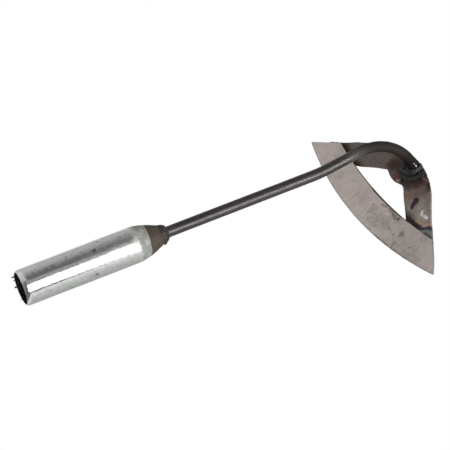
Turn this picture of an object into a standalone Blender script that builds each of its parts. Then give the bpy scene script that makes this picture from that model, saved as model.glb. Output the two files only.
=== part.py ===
"""Short hollow hoe, all steel: tube handle, round-bar gooseneck, arched plate
bracket and a flat arc blade, welded into one rigid tool.

Frame: the blade lies flat, its ground face is z = 0 and looks up (+Z).
+X runs forward from the cutting edge to the crown of the bracket, +Y to the
left tip. The origin is midway between the two tips, on the ground face.
The handle rises to the rear.
"""
import math

import bmesh
import bpy
from mathutils import Matrix, Vector

MM = 0.001
GAP = 0.3 * MM                  # clearance between neighbouring pieces

# ---- handle tube -----------------------------------------------------------
TUBE_R = 26.9 * MM / 2
TUBE_WALL = 1.5 * MM
TUBE_REAR = Vector((-209.1, -8.7, 209.7)) * MM   # centre of the open rear end
HANDLE_PITCH = math.radians(35.0)                # below horizontal, going forward
HANDLE_YAW = math.radians(1.9)                   # towards the left
BARREL_LENGTH = 88.4 * MM       # straight part of the tube
TUBE_LENGTH = 112.4 * MM        # rear rim to nose mouth
BARREL_STATIONS = (0.35, 0.7)   # extra rings, as shares of the barrel
NOSE_MOUTH_R = 6.6 * MM
NOSE_POWER = 1.68               # fullness of the ogive
BORE_DIP = 0.6 * MM             # the bore's ogive aims this far inside its mouth
RIM_ROLL = 0.5 * MM
TUBE_SEGMENTS = 56
NOSE_STEPS = 12
NOSE_BORE_STEPS = 8

# ---- neck bar, placed by distance from the rear rim ------------------------
ROD_R = 4.25 * MM
ROD_INSERT = 94.0 * MM          # where the bar starts inside the nose
ROD_MID = 170.0 * MM            # extra ring on the straight part
ROD_STRAIGHT = 239.8 * MM       # first bend
KINK_ANGLE = math.radians(6.9)
KINK_R = 115.0 * MM
KINK_STEPS = 4
NECK_FLAT = 30.5 * MM           # straight between kink and hook
HOOK_ANGLE = math.radians(79.4)
HOOK_R = 41.0 * MM
HOOK_STEPS = 18
NECK_LEAN = math.radians(18.2)  # the bends lie in a plane rolled about the handle
ROD_SEGMENTS = 28

# ---- ring bead at the nose mouth -------------------------------------------
BEAD_LENGTH = 6.0 * MM
BEAD_BORE_R = ROD_R + GAP
BEAD_REAR_R = NOSE_MOUTH_R + 0.3 * MM
BEAD_SHOULDER_R = ROD_R + 0.7 * MM   # the rounded profile closes towards this
BEAD_FRONT_R = ROD_R + 0.6 * MM
BEAD_STEPS = 8
BEAD_SEGMENTS = 40

# ---- blade; _MID is an arc's x on the centre line --------------------------
BLADE_T = 2.0 * MM
HALF_CHORD = 95.7 * MM
EDGE_R = 323.0 * MM             # cutting edge
EDGE_MID = -14.5 * MM
BACK_R = 410.0 * MM             # hollow side of the blade
BACK_MID = 11.3 * MM
BACK_HALF = 70.3 * MM
EDGE_LAND = 0.4 * MM            # thickness left at the cutting edge
EDGE_BEVEL = 9.0 * MM
BEVEL_SHARE = 0.8               # most of the blade's width the bevel may take
TIP_TRIM = 2.0 * MM
BLADE_STEPS = 40

# ---- bracket ---------------------------------------------------------------
PLATE_T = 2.8 * MM
CROWN_Z = 0.8 * MM              # top of the crown
FOOT_Z = -(BLADE_T + GAP)       # top of the feet, under the blade
JOGGLE_START = 1.5 * MM         # forward of the blade's hollow side
JOGGLE_LENGTH = 13.0 * MM
OUTER_LAP = 12.8 * MM           # reach of the feet under the blade, outer outline
HOLLOW_LAP = 11.2 * MM          # and along the hollow
CROWN_R = 67.0 * MM
CROWN_CENTRE = Vector((-15.0 * MM, 0.0))
CROWN_STEPS = 24
HOLLOW_FRONT = 29.4 * MM        # x of the hollow's straight front
HOLLOW_FILLET = 4.0 * MM
FILLET_STEPS = 6
ARM_STEPS = 30
ACROSS = 6                      # quads across an arm
# One arm each. A negative inset stands proud of the blade's end; the hollow
# meets the blade at y = base; its front is straight out to y = front.
LEFT_ARM = dict(inset=-2.0 * MM, base=43.5 * MM, front=15.0 * MM)
RIGHT_ARM = dict(inset=2.4 * MM, base=35.5 * MM, front=13.0 * MM)   # before mirroring

# ---- bead round the bar's end on the crown ---------------------------------
WELD_HALF_X = 6.2 * MM
WELD_HALF_Y = 9.0 * MM
WELD_HEIGHT = 5.0 * MM
WELD_BASE_Z = CROWN_Z + GAP
WELD_SHRINK = 0.28              # share of its size lost from base to top
WELD_SHRINK_POWER = 1.6
WELD_BASE_SHIFT = 0.6 * MM      # the base sits this far rearward, fading upwards
WELD_STEPS = 6
WELD_SEGMENTS = 40
CLEARANCE_R = ROD_R + 0.45 * MM
CLEARANCE_LENGTH = 30.0 * MM
CLEARANCE_SEGMENTS = 36

# ---- fillets at the feet ---------------------------------------------------
FILLET_LEG = 2.6 * MM
FILLET_INSET = 0.8 * MM         # shorter than the foot by this at each end
FILLET_LOW_Z = FOOT_Z - PLATE_T + 0.3 * MM
FILLET_TAPER = 0.35             # share of the leg lost at the ends
FILLET_LENGTH_STEPS = 12
# (distance out from the foot's end, z)
FILLET_SECTION = [
    (0.0, FOOT_Z),
    (0.0, FILLET_LOW_Z),
    (FILLET_LEG * 0.45, FILLET_LOW_Z + 0.9 * MM),
    (FILLET_LEG * 0.8, FOOT_Z - 0.9 * MM),
    (FILLET_LEG, FOOT_Z),
]


# ---- shared helpers --------------------------------------------------------
def make_material(name, color, roughness, metallic):
    material = bpy.data.materials.new(name)
    material.use_nodes = True
    shader = material.node_tree.nodes["Principled BSDF"]
    shader.inputs["Base Color"].default_value = (*color, 1.0)
    shader.inputs["Roughness"].default_value = roughness
    shader.inputs["Metallic"].default_value = metallic
    return material


def new_object(name, bm, color, roughness, metallic, smooth_angle=35.0):
    """Turn a bmesh into a linked object with its own material."""
    bmesh.ops.recalc_face_normals(bm, faces=bm.faces[:])
    mesh = bpy.data.meshes.new(name)
    bm.to_mesh(mesh)
    bm.free()
    obj = bpy.data.objects.new(name, mesh)
    bpy.context.scene.collection.objects.link(obj)
    mesh.materials.append(make_material(name + "_mat", color, roughness, metallic))
    mesh.shade_smooth()
    mesh.set_sharp_from_angle(angle=math.radians(smooth_angle))
    return obj


def lathe(profile, segments):
    """Closed profile [(along, radius)] turned about +X."""
    bm = bmesh.new()
    verts = [bm.verts.new((along, radius, 0.0)) for along, radius in profile]
    edges = [bm.edges.new(pair) for pair in zip(verts, verts[1:] + verts[:1])]
    bmesh.ops.spin(bm, geom=verts + edges, cent=(0, 0, 0), axis=(1, 0, 0),
                   angle=2 * math.pi, steps=segments, use_merge=True)
    bmesh.ops.remove_doubles(bm, verts=bm.verts[:], dist=1e-6)
    return bm


def loft(sections):
    """Capped solid through closed sections with equal point counts."""
    bm = bmesh.new()
    rings = [[bm.verts.new(point) for point in section] for section in sections]
    count = len(rings[0])
    for ring, following in zip(rings, rings[1:]):
        for i in range(count):
            j = (i + 1) % count
            bm.faces.new((ring[i], ring[j], following[j], following[i]))
    bm.faces.new(rings[0])
    bm.faces.new(list(reversed(rings[-1])))
    return bm


def circle_angles(count):
    return [2 * math.pi * i / count for i in range(count)]


def mirrored(point):
    """Plan point on the other side of the centre line."""
    return Vector((point.x, -point.y))


# ---- handle frame and tube -------------------------------------------------
def make_handle_matrix():
    """x along the handle to the head, y left, z up, then rolled by the lean."""
    forward = Vector((math.cos(HANDLE_PITCH) * math.cos(HANDLE_YAW),
                      math.cos(HANDLE_PITCH) * math.sin(HANDLE_YAW),
                      -math.sin(HANDLE_PITCH)))
    level_left = Vector((0, 0, 1)).cross(forward).normalized()
    level_up = forward.cross(level_left)
    left = level_left * math.cos(NECK_LEAN) - level_up * math.sin(NECK_LEAN)
    up = forward.cross(left)
    rotation = Matrix((forward, left, up)).transposed()
    return Matrix.Translation(TUBE_REAR) @ rotation.to_4x4()


def make_handle_axis(matrix):
    axis = bpy.data.objects.new("handle_axis", None)
    bpy.context.scene.collection.objects.link(axis)
    axis.matrix_world = matrix
    return axis


def nose_profile(start_r, end_r, steps):
    """Ogive [(along, radius)] from the barrel's end to the nose mouth."""
    length = TUBE_LENGTH - BARREL_LENGTH
    return [(BARREL_LENGTH + length * i / steps,
             end_r + (start_r - end_r) * (1.0 - (i / steps) ** NOSE_POWER))
            for i in range(steps + 1)]


def make_handle_tube():
    """Barrel and ogive nose, with the bore closing in on the bar."""
    bore_r = TUBE_R - TUBE_WALL
    mouth_r = ROD_R + GAP
    outer = [(0.0, TUBE_R - RIM_ROLL), (RIM_ROLL, TUBE_R)]
    outer += [(BARREL_LENGTH * share, TUBE_R) for share in BARREL_STATIONS]
    outer += nose_profile(TUBE_R, NOSE_MOUTH_R, NOSE_STEPS)
    bore = [(0.0, bore_r)]
    bore += [(BARREL_LENGTH * share, bore_r) for share in BARREL_STATIONS]
    bore += [(along, max(mouth_r, radius)) for along, radius
             in nose_profile(bore_r, mouth_r - BORE_DIP, NOSE_BORE_STEPS)]
    return new_object("handle_tube", lathe(outer + bore[::-1], TUBE_SEGMENTS),
                      color=(0.62, 0.64, 0.65), roughness=0.28, metallic=1.0)


# ---- neck bar --------------------------------------------------------------
def add_bend(stations, radius, turn, steps):
    """Extend the path by an arc; a positive turn bends it up."""
    x, z, heading = stations[-1]
    radius = math.copysign(radius, turn)
    for i in range(1, steps + 1):
        angle = turn * i / steps
        ahead = radius * math.sin(angle)
        rise = radius * (1 - math.cos(angle))
        stations.append((x + ahead * math.cos(heading) - rise * math.sin(heading),
                         z + ahead * math.sin(heading) + rise * math.cos(heading),
                         heading + angle))


def neck_path():
    """Stations (x, z, heading) in the handle frame: straight, kink, flat, hook."""
    stations = [(x, 0.0, 0.0) for x in (ROD_INSERT, TUBE_LENGTH, ROD_MID, ROD_STRAIGHT)]
    add_bend(stations, KINK_R, KINK_ANGLE, KINK_STEPS)
    x, z, heading = stations[-1]
    stations.append((x + NECK_FLAT * math.cos(heading),
                     z + NECK_FLAT * math.sin(heading), heading))
    add_bend(stations, HOOK_R, -HOOK_ANGLE, HOOK_STEPS)
    return stations


def make_neck_rod(stations):
    sections = []
    for x, z, heading in stations:
        normal = Vector((-math.sin(heading), 0.0, math.cos(heading)))
        sections.append([
            Vector((x, 0, z)) + ROD_R * (math.cos(w) * normal + math.sin(w) * Vector((0, 1, 0)))
            for w in circle_angles(ROD_SEGMENTS)])
    return new_object("neck_rod", loft(sections),
                      color=(0.06, 0.055, 0.06), roughness=0.5, metallic=0.9)


def make_neck_weld():
    """Ring bead closing the nose on the bar."""
    rear = TUBE_LENGTH + GAP
    front = rear + BEAD_LENGTH
    profile = [(rear, BEAD_BORE_R)]
    for i in range(BEAD_STEPS):
        f = i / BEAD_STEPS
        profile.append((rear + BEAD_LENGTH * f,
                        BEAD_SHOULDER_R
                        + (BEAD_REAR_R - BEAD_SHOULDER_R) * math.sqrt(1 - f ** 2)))
    profile += [(front, BEAD_FRONT_R), (front, BEAD_BORE_R)]
    return new_object("neck_weld", lathe(profile, BEAD_SEGMENTS),
                      color=(0.1, 0.1, 0.1), roughness=0.7, metallic=0.8)


# ---- blade -----------------------------------------------------------------
def edge_point(y):
    return Vector((EDGE_MID + EDGE_R - math.sqrt(EDGE_R ** 2 - y * y), y))


def back_x(y):
    return BACK_MID + BACK_R - math.sqrt(BACK_R ** 2 - y * y)


# the left end of the blade runs from the sharp tip to the heel
TIP = edge_point(HALF_CHORD)
HEEL = Vector((back_x(BACK_HALF), BACK_HALF))
END_DIR = (HEEL - TIP).normalized()


def make_blade():
    """Arc plate, ground face up, bevelled below the cutting edge."""
    shares = [-1 + 2 * i / BLADE_STEPS for i in range(BLADE_STEPS + 1)]
    trimmed_tip = TIP + END_DIR * TIP_TRIM
    edges = [edge_point((HALF_CHORD - TIP_TRIM) * share) for share in shares[1:-1]]
    edges = [mirrored(trimmed_tip)] + edges + [trimmed_tip]
    sections = []
    for edge, share in zip(edges, shares):
        back = Vector((back_x(BACK_HALF * share), BACK_HALF * share))
        width = (back - edge).length
        bevel = edge + (back - edge).normalized() * min(EDGE_BEVEL, BEVEL_SHARE * width)
        sections.append([(edge.x, edge.y, 0), (back.x, back.y, 0),
                         (back.x, back.y, -BLADE_T), (bevel.x, bevel.y, -BLADE_T),
                         (edge.x, edge.y, -EDGE_LAND)])
    new_object("blade", loft(sections), color=(0.66, 0.62, 0.60),
               roughness=0.35, metallic=1.0, smooth_angle=20.0)


# ---- bracket ---------------------------------------------------------------
def plate_top(x, y):
    """Height of the plate's top: feet, smooth joggle, crown."""
    f = (x - back_x(y) - JOGGLE_START) / JOGGLE_LENGTH
    f = max(0.0, min(1.0, f))
    return FOOT_Z + (CROWN_Z - FOOT_Z) * (3 * f * f - 2 * f ** 3)


def resample(points, count):
    """Points spaced evenly along a polyline, count + 1 of them."""
    lengths = [0.0]
    for start, end in zip(points, points[1:]):
        lengths.append(lengths[-1] + (end - start).length)
    spaced = []
    k = 0
    for i in range(count + 1):
        distance = lengths[-1] * i / count
        while k < len(points) - 2 and lengths[k + 1] < distance:
            k += 1
        f = (distance - lengths[k]) / (lengths[k + 1] - lengths[k])
        spaced.append(points[k].lerp(points[k + 1], f))
    return spaced


def arc_points(centre, radius, start, end, steps):
    points = []
    for i in range(steps + 1):
        angle = start + (end - start) * i / steps
        points.append(centre + radius * Vector((math.cos(angle), math.sin(angle))))
    return points


def outer_outline(inset):
    """Outer outline of a left arm, foot to crown middle."""
    outward = Vector((-END_DIR.y, END_DIR.x))
    foot = HEEL - END_DIR * OUTER_LAP - outward * inset
    # the crown arc starts where it runs parallel to the blade's end
    start = math.atan2(outward.y, outward.x)
    return [foot] + arc_points(CROWN_CENTRE, CROWN_R, start, 0.0, CROWN_STEPS)


def hollow_outline(base_y, front_y):
    """Hollow outline of a left arm, foot to crown middle, with a filleted corner."""
    base = Vector((back_x(base_y), base_y))
    corner = Vector((HOLLOW_FRONT, front_y))
    to_base = (base - corner).normalized()
    to_middle = Vector((0, -1))
    half_angle = to_base.angle(to_middle) / 2
    cut = HOLLOW_FILLET / math.tan(half_angle)
    centre = corner + (to_base + to_middle).normalized() * (HOLLOW_FILLET / math.sin(half_angle))
    start, end = [math.atan2(arm.y, arm.x)
                  for arm in (corner + to_base * cut - centre, corner + to_middle * cut - centre)]
    return ([base + to_base * HOLLOW_LAP]
            + arc_points(centre, HOLLOW_FILLET, start, end, FILLET_STEPS)
            + [Vector((HOLLOW_FRONT, 0.0))])


def arm_pairs(inset, base, front):
    """(outer, hollow) plan points of a left arm, foot to crown middle."""
    return list(zip(resample(outer_outline(inset), ARM_STEPS),
                    resample(hollow_outline(base, front), ARM_STEPS)))


def bracket_pairs():
    """(outer, hollow) plan points from the left foot round to the right foot."""
    right = [(mirrored(outer), mirrored(hollow)) for outer, hollow in arm_pairs(**RIGHT_ARM)]
    return arm_pairs(**LEFT_ARM) + right[::-1][1:]


def make_bracket(pairs):
    """Arched plate with a hollow, joggled down to feet under the blade."""
    bm = bmesh.new()
    top, bottom = [], []
    for outer, hollow in pairs:
        points = [outer.lerp(hollow, k / ACROSS) for k in range(ACROSS + 1)]
        row = [(p.x, p.y, plate_top(p.x, p.y)) for p in points]
        top.append([bm.verts.new(point) for point in row])
        bottom.append([bm.verts.new((x, y, z - PLATE_T)) for x, y, z in row])
    last = len(pairs) - 1
    for i in range(last):
        j = i + 1
        for k in range(ACROSS):
            bm.faces.new((top[i][k], top[i][k + 1], top[j][k + 1], top[j][k]))
            bm.faces.new((bottom[i][k], bottom[j][k], bottom[j][k + 1], bottom[i][k + 1]))
        for k in (0, ACROSS):
            bm.faces.new((top[i][k], top[j][k], bottom[j][k], bottom[i][k]))
    for i in (0, last):
        for k in range(ACROSS):
            bm.faces.new((top[i][k], bottom[i][k], bottom[i][k + 1], top[i][k + 1]))
    new_object("head_bracket", bm, color=(0.11, 0.1, 0.09),
               roughness=0.45, metallic=0.9, smooth_angle=30.0)


# ---- welds at the head -----------------------------------------------------
def make_head_weld(rod_end, rod_down):
    """Bead round the bar's end on the crown, following the bar's slope."""
    sections = []
    for j in range(WELD_STEPS + 1):
        f = j / WELD_STEPS
        z = WELD_BASE_Z + WELD_HEIGHT * f
        centre = rod_end + rod_down * ((z - rod_end.z) / rod_down.z)
        centre_x = centre.x - WELD_BASE_SHIFT * (1 - f)
        shrink = 1.0 - WELD_SHRINK * f ** WELD_SHRINK_POWER
        half_x = WELD_HALF_X * shrink
        half_y = (WELD_HALF_Y * (1 - f) + WELD_HALF_X * f) * shrink
        sections.append([(centre_x + half_x * math.cos(w), centre.y + half_y * math.sin(w), z)
                         for w in circle_angles(WELD_SEGMENTS)])
    return new_object("head_weld", loft(sections),
                      color=(0.09, 0.09, 0.1), roughness=0.6, metallic=0.85)


def cut_bar_clearance(weld, rod_end, rod_down):
    """Clear the bar's way through the bead with a hidden cylinder."""
    bm = bmesh.new()
    bmesh.ops.create_cone(bm, cap_ends=True, segments=CLEARANCE_SEGMENTS, radius1=CLEARANCE_R,
                          radius2=CLEARANCE_R, depth=CLEARANCE_LENGTH)
    cutter = new_object("bar_clearance", bm, color=(0.5, 0.5, 0.5), roughness=0.5, metallic=0.0)
    cutter.hide_render = True
    cutter.display_type = 'WIRE'
    rotation = rod_down.to_track_quat('Z', 'Y').to_matrix().to_4x4()
    cutter.matrix_world = Matrix.Translation(rod_end) @ rotation
    hole = weld.modifiers.new("bar_hole", 'BOOLEAN')
    hole.operation = 'DIFFERENCE'
    hole.solver = 'EXACT'
    hole.object = cutter


def make_foot_weld(name, outer, hollow):
    """Fillet under the blade, along the end of a foot."""
    along = (hollow - outer).normalized()
    out = Vector((-along.y, along.x))
    if out.x > 0:   # the fillet lies to the rear of the foot
        out = -out
    start = outer + along * FILLET_INSET + out * GAP
    end = hollow - along * FILLET_INSET + out * GAP
    sections = []
    for i in range(FILLET_LENGTH_STEPS + 1):
        f = i / FILLET_LENGTH_STEPS
        p = start.lerp(end, f)
        scale = 1.0 - FILLET_TAPER * abs(2 * f - 1) ** 3
        sections.append([(p.x + out.x * reach * scale, p.y + out.y * reach * scale, z)
                         for reach, z in FILLET_SECTION])
    new_object(name, loft(sections), color=(0.1, 0.1, 0.1), roughness=0.7, metallic=0.8)


def build():
    for old in list(bpy.data.objects):
        bpy.data.objects.remove(old, do_unlink=True)

    handle_matrix = make_handle_matrix()
    handle = make_handle_axis(handle_matrix)
    stations = neck_path()
    for part in (make_handle_tube(), make_neck_rod(stations), make_neck_weld()):
        part.parent = handle

    make_blade()
    pairs = bracket_pairs()
    make_bracket(pairs)

    x, z, heading = stations[-1]
    rod_end = handle_matrix @ Vector((x, 0.0, z))
    rod_down = handle_matrix.to_3x3() @ Vector((math.cos(heading), 0.0, math.sin(heading)))
    rod_down.normalize()
    head_weld = make_head_weld(rod_end, rod_down)
    cut_bar_clearance(head_weld, rod_end, rod_down)
    make_foot_weld("blade_weld_left", *pairs[0])
    make_foot_weld("blade_weld_right", *pairs[-1])
    bpy.context.view_layer.update()


build()
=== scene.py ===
"""A small welded steel tool: blade, bracket plate, hooked neck bar and tube handle.

The ground blade lies flat, top face at z = 0, its bowed cutting edge towards -X. The plate
joins it on the +X side; the bar stands on the plate, hooks over and climbs towards -X into
the zinc tube. Lengths are mm until a mesh is made. "Left" is +Y and "right" is -Y.
"""
import math

import bpy
import numpy as np
from mathutils import Matrix, Vector


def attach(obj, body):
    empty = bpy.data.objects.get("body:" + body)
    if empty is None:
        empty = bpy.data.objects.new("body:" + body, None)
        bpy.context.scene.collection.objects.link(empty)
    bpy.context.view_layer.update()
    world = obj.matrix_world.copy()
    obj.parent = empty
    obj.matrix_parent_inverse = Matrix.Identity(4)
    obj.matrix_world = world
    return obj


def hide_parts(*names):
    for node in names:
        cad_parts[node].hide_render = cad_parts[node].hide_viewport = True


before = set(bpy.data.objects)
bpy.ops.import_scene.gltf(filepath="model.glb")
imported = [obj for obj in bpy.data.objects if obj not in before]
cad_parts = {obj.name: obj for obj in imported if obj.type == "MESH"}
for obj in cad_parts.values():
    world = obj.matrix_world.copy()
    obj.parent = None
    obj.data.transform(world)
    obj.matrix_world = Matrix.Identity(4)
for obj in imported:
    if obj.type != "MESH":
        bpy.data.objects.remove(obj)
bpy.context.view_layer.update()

MM = 0.001


# ---------------------------------------------------------------------------
# Noise and curve tools
# ---------------------------------------------------------------------------
def value_noise(points, seed):
    """Smooth noise in -1..1 from hashed unit cells."""
    cell = np.floor(points).astype(np.int64)
    part = points - cell
    ease = part * part * part * (part * (part * 6 - 15) + 10)

    def mix(low, high, axis):
        return low + (high - low) * ease[..., axis]

    def corner(dx, dy, dz):
        key = ((cell[..., 0] + dx) * 374761393 + (cell[..., 1] + dy) * 668265263
               + (cell[..., 2] + dz) * 1442695041 + seed * 1274126177) & 0xFFFFFFFF
        key = ((key ^ (key >> 13)) * 1274126177) & 0xFFFFFFFF
        return ((key ^ (key >> 16)) & 0xFFFF) / 32767.5 - 1.0

    def edge(dy, dz):
        return mix(corner(0, dy, dz), corner(1, dy, dz), 0)

    def face(dz):
        return mix(edge(0, dz), edge(1, dz), 1)

    return mix(face(0), face(1), 2)


def fbm(points, size, octaves, seed):
    """Layered noise in about -1..1 with a feature size in the same unit as points."""
    points = np.asarray(points, float) / size
    total, weight, weights = 0.0, 1.0, 0.0
    for octave in range(octaves):
        layer = value_noise(points * 2.03 ** octave + 17.3 * octave, seed + octave)
        total = total + weight * layer
        weights += weight
        weight *= 0.5
    return total / weights * 1.6


def smooth(start, end, x):
    """Eased step from 0 at start to 1 at end; start may be the larger."""
    t = np.clip((x - start) / (end - start), 0, 1)
    return t * t * (3 - 2 * t)


def bell(x, centre, width):
    return np.exp(-((x - centre) / width) ** 2)


def xyz(x, y, z):
    return np.stack(np.broadcast_arrays(x, y, z), -1)


def around(x, radius, turn):
    """Points round the X axis; turn 0 is +Y and 90 degrees is +Z."""
    return xyz(x, radius * np.cos(turn), radius * np.sin(turn))


def turn_from(turn, degrees):
    """Signed angle from a direction, in radians, wrapped to half a turn."""
    return np.angle(np.exp(1j * (turn - math.radians(degrees))))


def unit(vectors):
    return vectors / np.linalg.norm(vectors, axis=-1, keepdims=True)


def run_length(points):
    """Distance travelled at each point of a polyline."""
    steps = np.linalg.norm(np.diff(points, axis=0), axis=1)
    return np.concatenate([[0], np.cumsum(steps)])


def even(points, count):
    """Evenly spaced points along a flat polyline."""
    points = np.asarray(points, float)
    run = run_length(points)
    at = np.linspace(0, run[-1], count)
    return np.stack([np.interp(at, run, points[:, 0]), np.interp(at, run, points[:, 1])], -1)


def spline(points, count):
    """Evenly spaced points along a Catmull-Rom curve."""
    p = np.array(points, float)
    ctrl = np.vstack([2 * p[0] - p[1], p, 2 * p[-1] - p[-2]])
    t = np.linspace(0, 1, 24, endpoint=False)[:, None]
    pieces = [0.5 * ((2 * b) + (c - a) * t + (2 * a - 5 * b + 4 * c - d) * t ** 2
                     + (3 * b - a - 3 * c + d) * t ** 3)
              for a, b, c, d in zip(ctrl, ctrl[1:], ctrl[2:], ctrl[3:])]
    return even(np.vstack(pieces + [p[-1:]]), count)


def to_segment(x, y, start, end):
    """Share along a segment of the nearest place on it, and the distance to that place."""
    dx, dy = end[0] - start[0], end[1] - start[1]
    t = np.clip(((x - start[0]) * dx + (y - start[1]) * dy) / (dx ** 2 + dy ** 2), 0, 1)
    return t, np.hypot(x - start[0] - t * dx, y - start[1] - t * dy)


# ---------------------------------------------------------------------------
# Mesh tools
# ---------------------------------------------------------------------------
def frame_matrix(x_axis, y_axis, z_axis, origin):
    matrix = Matrix((x_axis, y_axis, z_axis)).transposed().to_4x4()
    matrix.translation = origin
    return matrix


def link_object(name, data):
    obj = bpy.data.objects.new(name, data)
    bpy.context.scene.collection.objects.link(obj)
    return obj


def add_mesh(name, verts, faces, materials, frame=None, sharp=None, face_material=None):
    """verts in mm, in the given frame; they stay with the mesh as its texture space."""
    verts = np.asarray(verts, float)
    placed = verts * MM
    if frame is not None:
        placed = placed @ np.array(frame.to_3x3()).T + np.array(frame.translation)
    mesh = bpy.data.meshes.new(name)
    mesh.from_pydata(placed.tolist(), [], faces)
    mesh.update()
    local = mesh.attributes.new("local", "FLOAT_VECTOR", "POINT")
    local.data.foreach_set("vector", verts.astype(np.float32).ravel())
    for material in materials:
        mesh.materials.append(material)
    if face_material is not None:
        mesh.polygons.foreach_set("material_index", np.asarray(face_material, np.int32))
    mesh.shade_smooth()
    if sharp:
        mesh.set_sharp_from_angle(angle=math.radians(sharp))
    obj = link_object(name, mesh)
    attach(obj, "root")
    return obj


def grid_faces(rows, cols, wrap_rows=False, wrap_cols=False, flip=False):
    faces = []
    for i in range(rows if wrap_rows else rows - 1):
        i2 = (i + 1) % rows
        for j in range(cols if wrap_cols else cols - 1):
            j2 = (j + 1) % cols
            face = (i * cols + j, i2 * cols + j, i2 * cols + j2, i * cols + j2)
            faces.append(face[::-1] if flip else face)
    return faces


def closed_sweep(grid, flip=False):
    """A row of closed loops; each end is closed with a fan round a centre point."""
    rows, cols, _ = grid.shape
    faces = grid_faces(rows, cols, wrap_cols=True, flip=flip)
    verts = np.vstack([grid.reshape(-1, 3), grid[0].mean(0), grid[-1].mean(0)])
    first, last = rows * cols, rows * cols + 1
    for j in range(cols):
        j2 = (j + 1) % cols
        for fan in ((first, j, j2), (last, (rows - 1) * cols + j2, (rows - 1) * cols + j)):
            faces.append(fan[::-1] if flip else fan)
    return verts, faces


def add_attributes(obj, **values):
    for name, value in values.items():
        layer = obj.data.attributes.new(name, "FLOAT", "POINT")
        layer.data.foreach_set("value", np.asarray(value, np.float32).ravel())


def linear(rgb):
    """sRGB 0-255 to linear."""
    c = np.array(rgb, float) / 255
    return np.where(c <= 0.04045, c / 12.92, ((c + 0.055) / 1.055) ** 2.4)


class Paint:
    """Linear colour per vertex, laid on in coats given as sRGB 0-255."""

    def __init__(self, rgb, count):
        self.colours = np.tile(linear(rgb), (count, 1))

    def lay(self, rgb, amount):
        amount = np.clip(amount, 0, 1)[:, None]
        self.colours = self.colours + (linear(rgb) - self.colours) * amount

    def store(self, obj, gain):
        layer = obj.data.color_attributes.new("tint", "FLOAT_COLOR", "POINT")
        rgba = np.ones((len(self.colours), 4), np.float32)
        rgba[:, :3] = self.colours * gain
        layer.data.foreach_set("color", rgba.ravel())


def lump(name, centre, radii, material, seed, rough, steps, axes=np.eye(3), frame=None):
    """A closed, slightly irregular pebble; axes are three unit rows."""
    polar = np.linspace(0, math.pi, steps)[1:-1]
    circle = np.linspace(0, 2 * math.pi, 2 * steps, endpoint=False)
    turn, tilt = np.meshgrid(circle, polar)
    ball = xyz(np.sin(tilt) * np.cos(turn), np.sin(tilt) * np.sin(turn), np.cos(tilt))
    swell = 1 + rough * fbm(ball, 0.8, 3, seed=seed)
    grid = (ball * swell[..., None] * np.array(radii)) @ np.array(axes, float) + np.array(centre)
    obj = add_mesh(name, *closed_sweep(grid, flip=True), [material], frame)


# ---------------------------------------------------------------------------
# Node graphs written as expressions
# ---------------------------------------------------------------------------
class Value:
    """A node output; arithmetic on it adds nodes to its graph."""

    def __init__(self, graph, socket):
        self.graph = graph
        self.socket = socket

    def math(self, operation, other, clamp=False):
        props = dict(operation=operation, use_clamp=clamp)
        return self.graph.node("Math", self, other, props=props)

    def __add__(self, other):
        return self.math("ADD", other)

    def __mul__(self, other):
        return self.math("MULTIPLY", other)

    def __pow__(self, other):
        return self.math("POWER", other)

    def remap(self, span, to):
        return self.graph.node("MapRange", Value=self, From_Min=span[0], From_Max=span[1],
                               To_Min=to[0], To_Max=to[1])

    def ramp(self, *stops):
        """Colour ramp from (position, colour or grey) stops."""
        node = self.graph.make("ValToRGB", Fac=self)
        elements = node.color_ramp.elements
        while len(elements) < len(stops):
            elements.new(0.5)
        for element, (position, rgb) in zip(elements, stops):
            element.position = position
            rgb = (rgb, rgb, rgb) if isinstance(rgb, (int, float)) else rgb
            element.color = (*map(float, rgb), 1.0)
        return Value(self.graph, node.outputs["Color"])

    def _mix(self, amount, other, first, out, **props):
        node = self.graph.make("Mix", amount, props=props)
        self.graph.put(node.inputs[first], self)
        self.graph.put(node.inputs[first + 1], other)
        return Value(self.graph, node.outputs[out])

    def cover(self, amount, top, blend="MIX"):
        """Mix this colour towards top."""
        return self._mix(amount, top, first=6, out=2, data_type="RGBA", blend_type=blend)

    def toward(self, amount, number):
        """Mix this number towards another."""
        return self._mix(amount, number, first=2, out=0, data_type="FLOAT")

    def shade(self, top):
        return self.cover(1.0, top, blend="MULTIPLY")


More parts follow.
